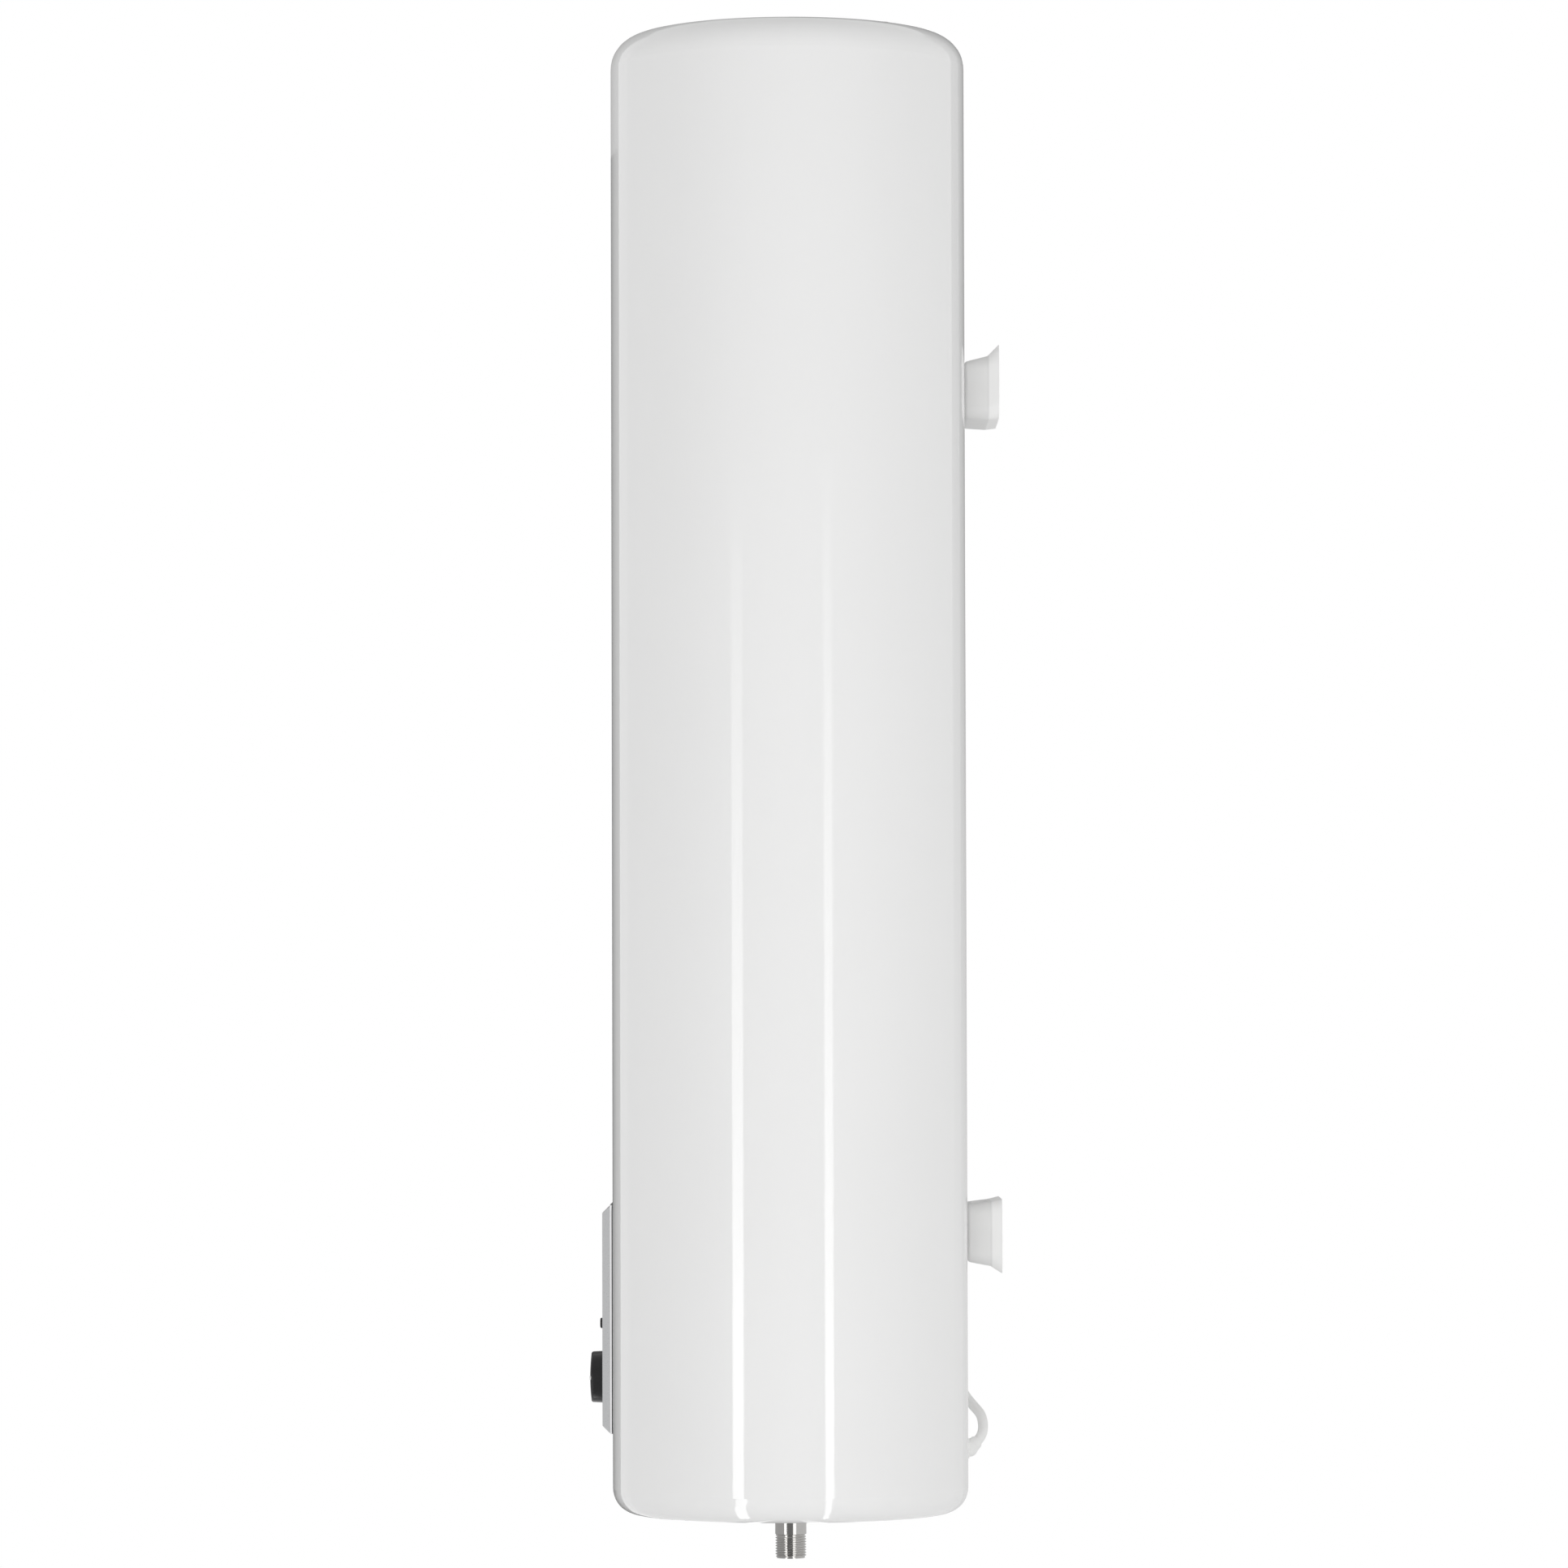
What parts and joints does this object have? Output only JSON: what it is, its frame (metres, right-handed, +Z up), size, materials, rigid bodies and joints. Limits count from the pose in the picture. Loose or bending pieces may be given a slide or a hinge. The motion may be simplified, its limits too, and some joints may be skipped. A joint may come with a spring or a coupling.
{
  "type": "flat tank water heater",
  "caption": "Wall-hung flat electric storage water heater: oblong enamelled jacket over twin steel tanks, front panel with dial knob and push button, hanging trays and threaded pipe stubs.",
  "frame": {"origin": "on the wall plane, middle of the top rim of the upper hanging tray", "axes": "+Z up, +Y into the wall, the control panel faces -Y, +X to the right seen from the front"},
  "size_m": [0.4338, 0.283, 1.0703],
  "materials": {
    "white_enamel": "gloss",
    "white_moulding": "satin",
    "tray_paint": "satin",
    "stainless": "satin",
    "zinc_steel": "satin",
    "black_rubber": "matte",
    "rigid_foam": "matte",
    "panel_silver": "satin",
    "panel_sheet": "satin",
    "black_gloss": "gloss",
    "mark_white": "matte",
    "amber_lens": "gloss",
    "element_alloy": "satin",
    "magnesium": "matte",
    "copper": "satin",
    "black_moulding": "matte",
    "reset_red": "satin",
    "terminal_ivory": "matte",
    "wire_blue": "satin",
    "cord_white": "satin",
    "nickel_pin": "polished"
  },
  "bodies": {
    "heater": {"outer_shell": "white_enamel", "top_cover": "white_moulding", "bottom_cover": "white_moulding", "bottom_cover_screws": "zinc_steel", "insulation_foam": "rigid_foam", "inlet_tank": "stainless", "outlet_tank": "stainless", "transfer_pipe": "stainless", "cold_inlet_stub": "stainless", "hot_outlet_stub": "stainless", "outlet_riser": "stainless", "inlet_diffuser": "white_moulding", "upper_tank_strap": "zinc_steel", "lower_tank_strap": "zinc_steel", "upper_bracket": "tray_paint", "lower_bracket": "tray_paint", "upper_bracket_gasket": "black_rubber", "lower_bracket_gasket": "black_rubber", "bracket_bolts": "zinc_steel", "inlet_flange": "zinc_steel", "outlet_flange": "zinc_steel", "flange_gaskets": "black_rubber", "flange_nuts": "zinc_steel", "inlet_heating_element": "element_alloy", "outlet_heating_element": "element_alloy", "inlet_anode": "magnesium", "outlet_anode": "magnesium", "inlet_thermowell": "stainless", "outlet_thermowell": "stainless", "panel_gasket": "black_rubber", "panel_bezel": "panel_silver", "panel_face": "panel_sheet", "control_plate": "zinc_steel", "panel_screws": "zinc_steel", "thermostat_body": "black_moulding", "mode_switch": "black_moulding", "indicator_lens": "amber_lens", "indicator_lamp": "black_moulding", "thermal_cutout": "black_moulding", "capillary_tube": "copper", "terminal_block": "terminal_ivory", "wiring_harness": "wire_blue", "cord_gland": "cord_white", "gland_nut": "cord_white", "power_cord": "cord_white", "cord_coil": "cord_white", "cord_tail": "cord_white", "cord_tie": "black_rubber", "plug_body": "cord_white", "plug_pins": "nickel_pin"},
    "knob": {"temperature_knob": "black_gloss", "knob_pointer": "mark_white", "thermostat_shaft": "zinc_steel"},
    "button": {"mode_button": "black_gloss"},
    "reset": {"reset_button": "reset_red"}
  },
  "joints": [
    {"name": "knob_turn", "type": "hinge", "parent": "heater", "child": "knob", "pos_m": [0, -0.2734, -0.7081], "axis": [0, 1, 0], "range_deg": [-225, 45]},
    {"name": "button_press", "type": "slide", "parent": "heater", "child": "button", "axis": [0, 1, 0], "range_m": [0, 0.002], "stiffness_N_per_m": 300},
    {"name": "reset_press", "type": "slide", "parent": "heater", "child": "reset", "axis": [0, 0, 1], "range_m": [0, 0.0015], "stiffness_N_per_m": 400, "springref_m": -0.001}
  ]
}
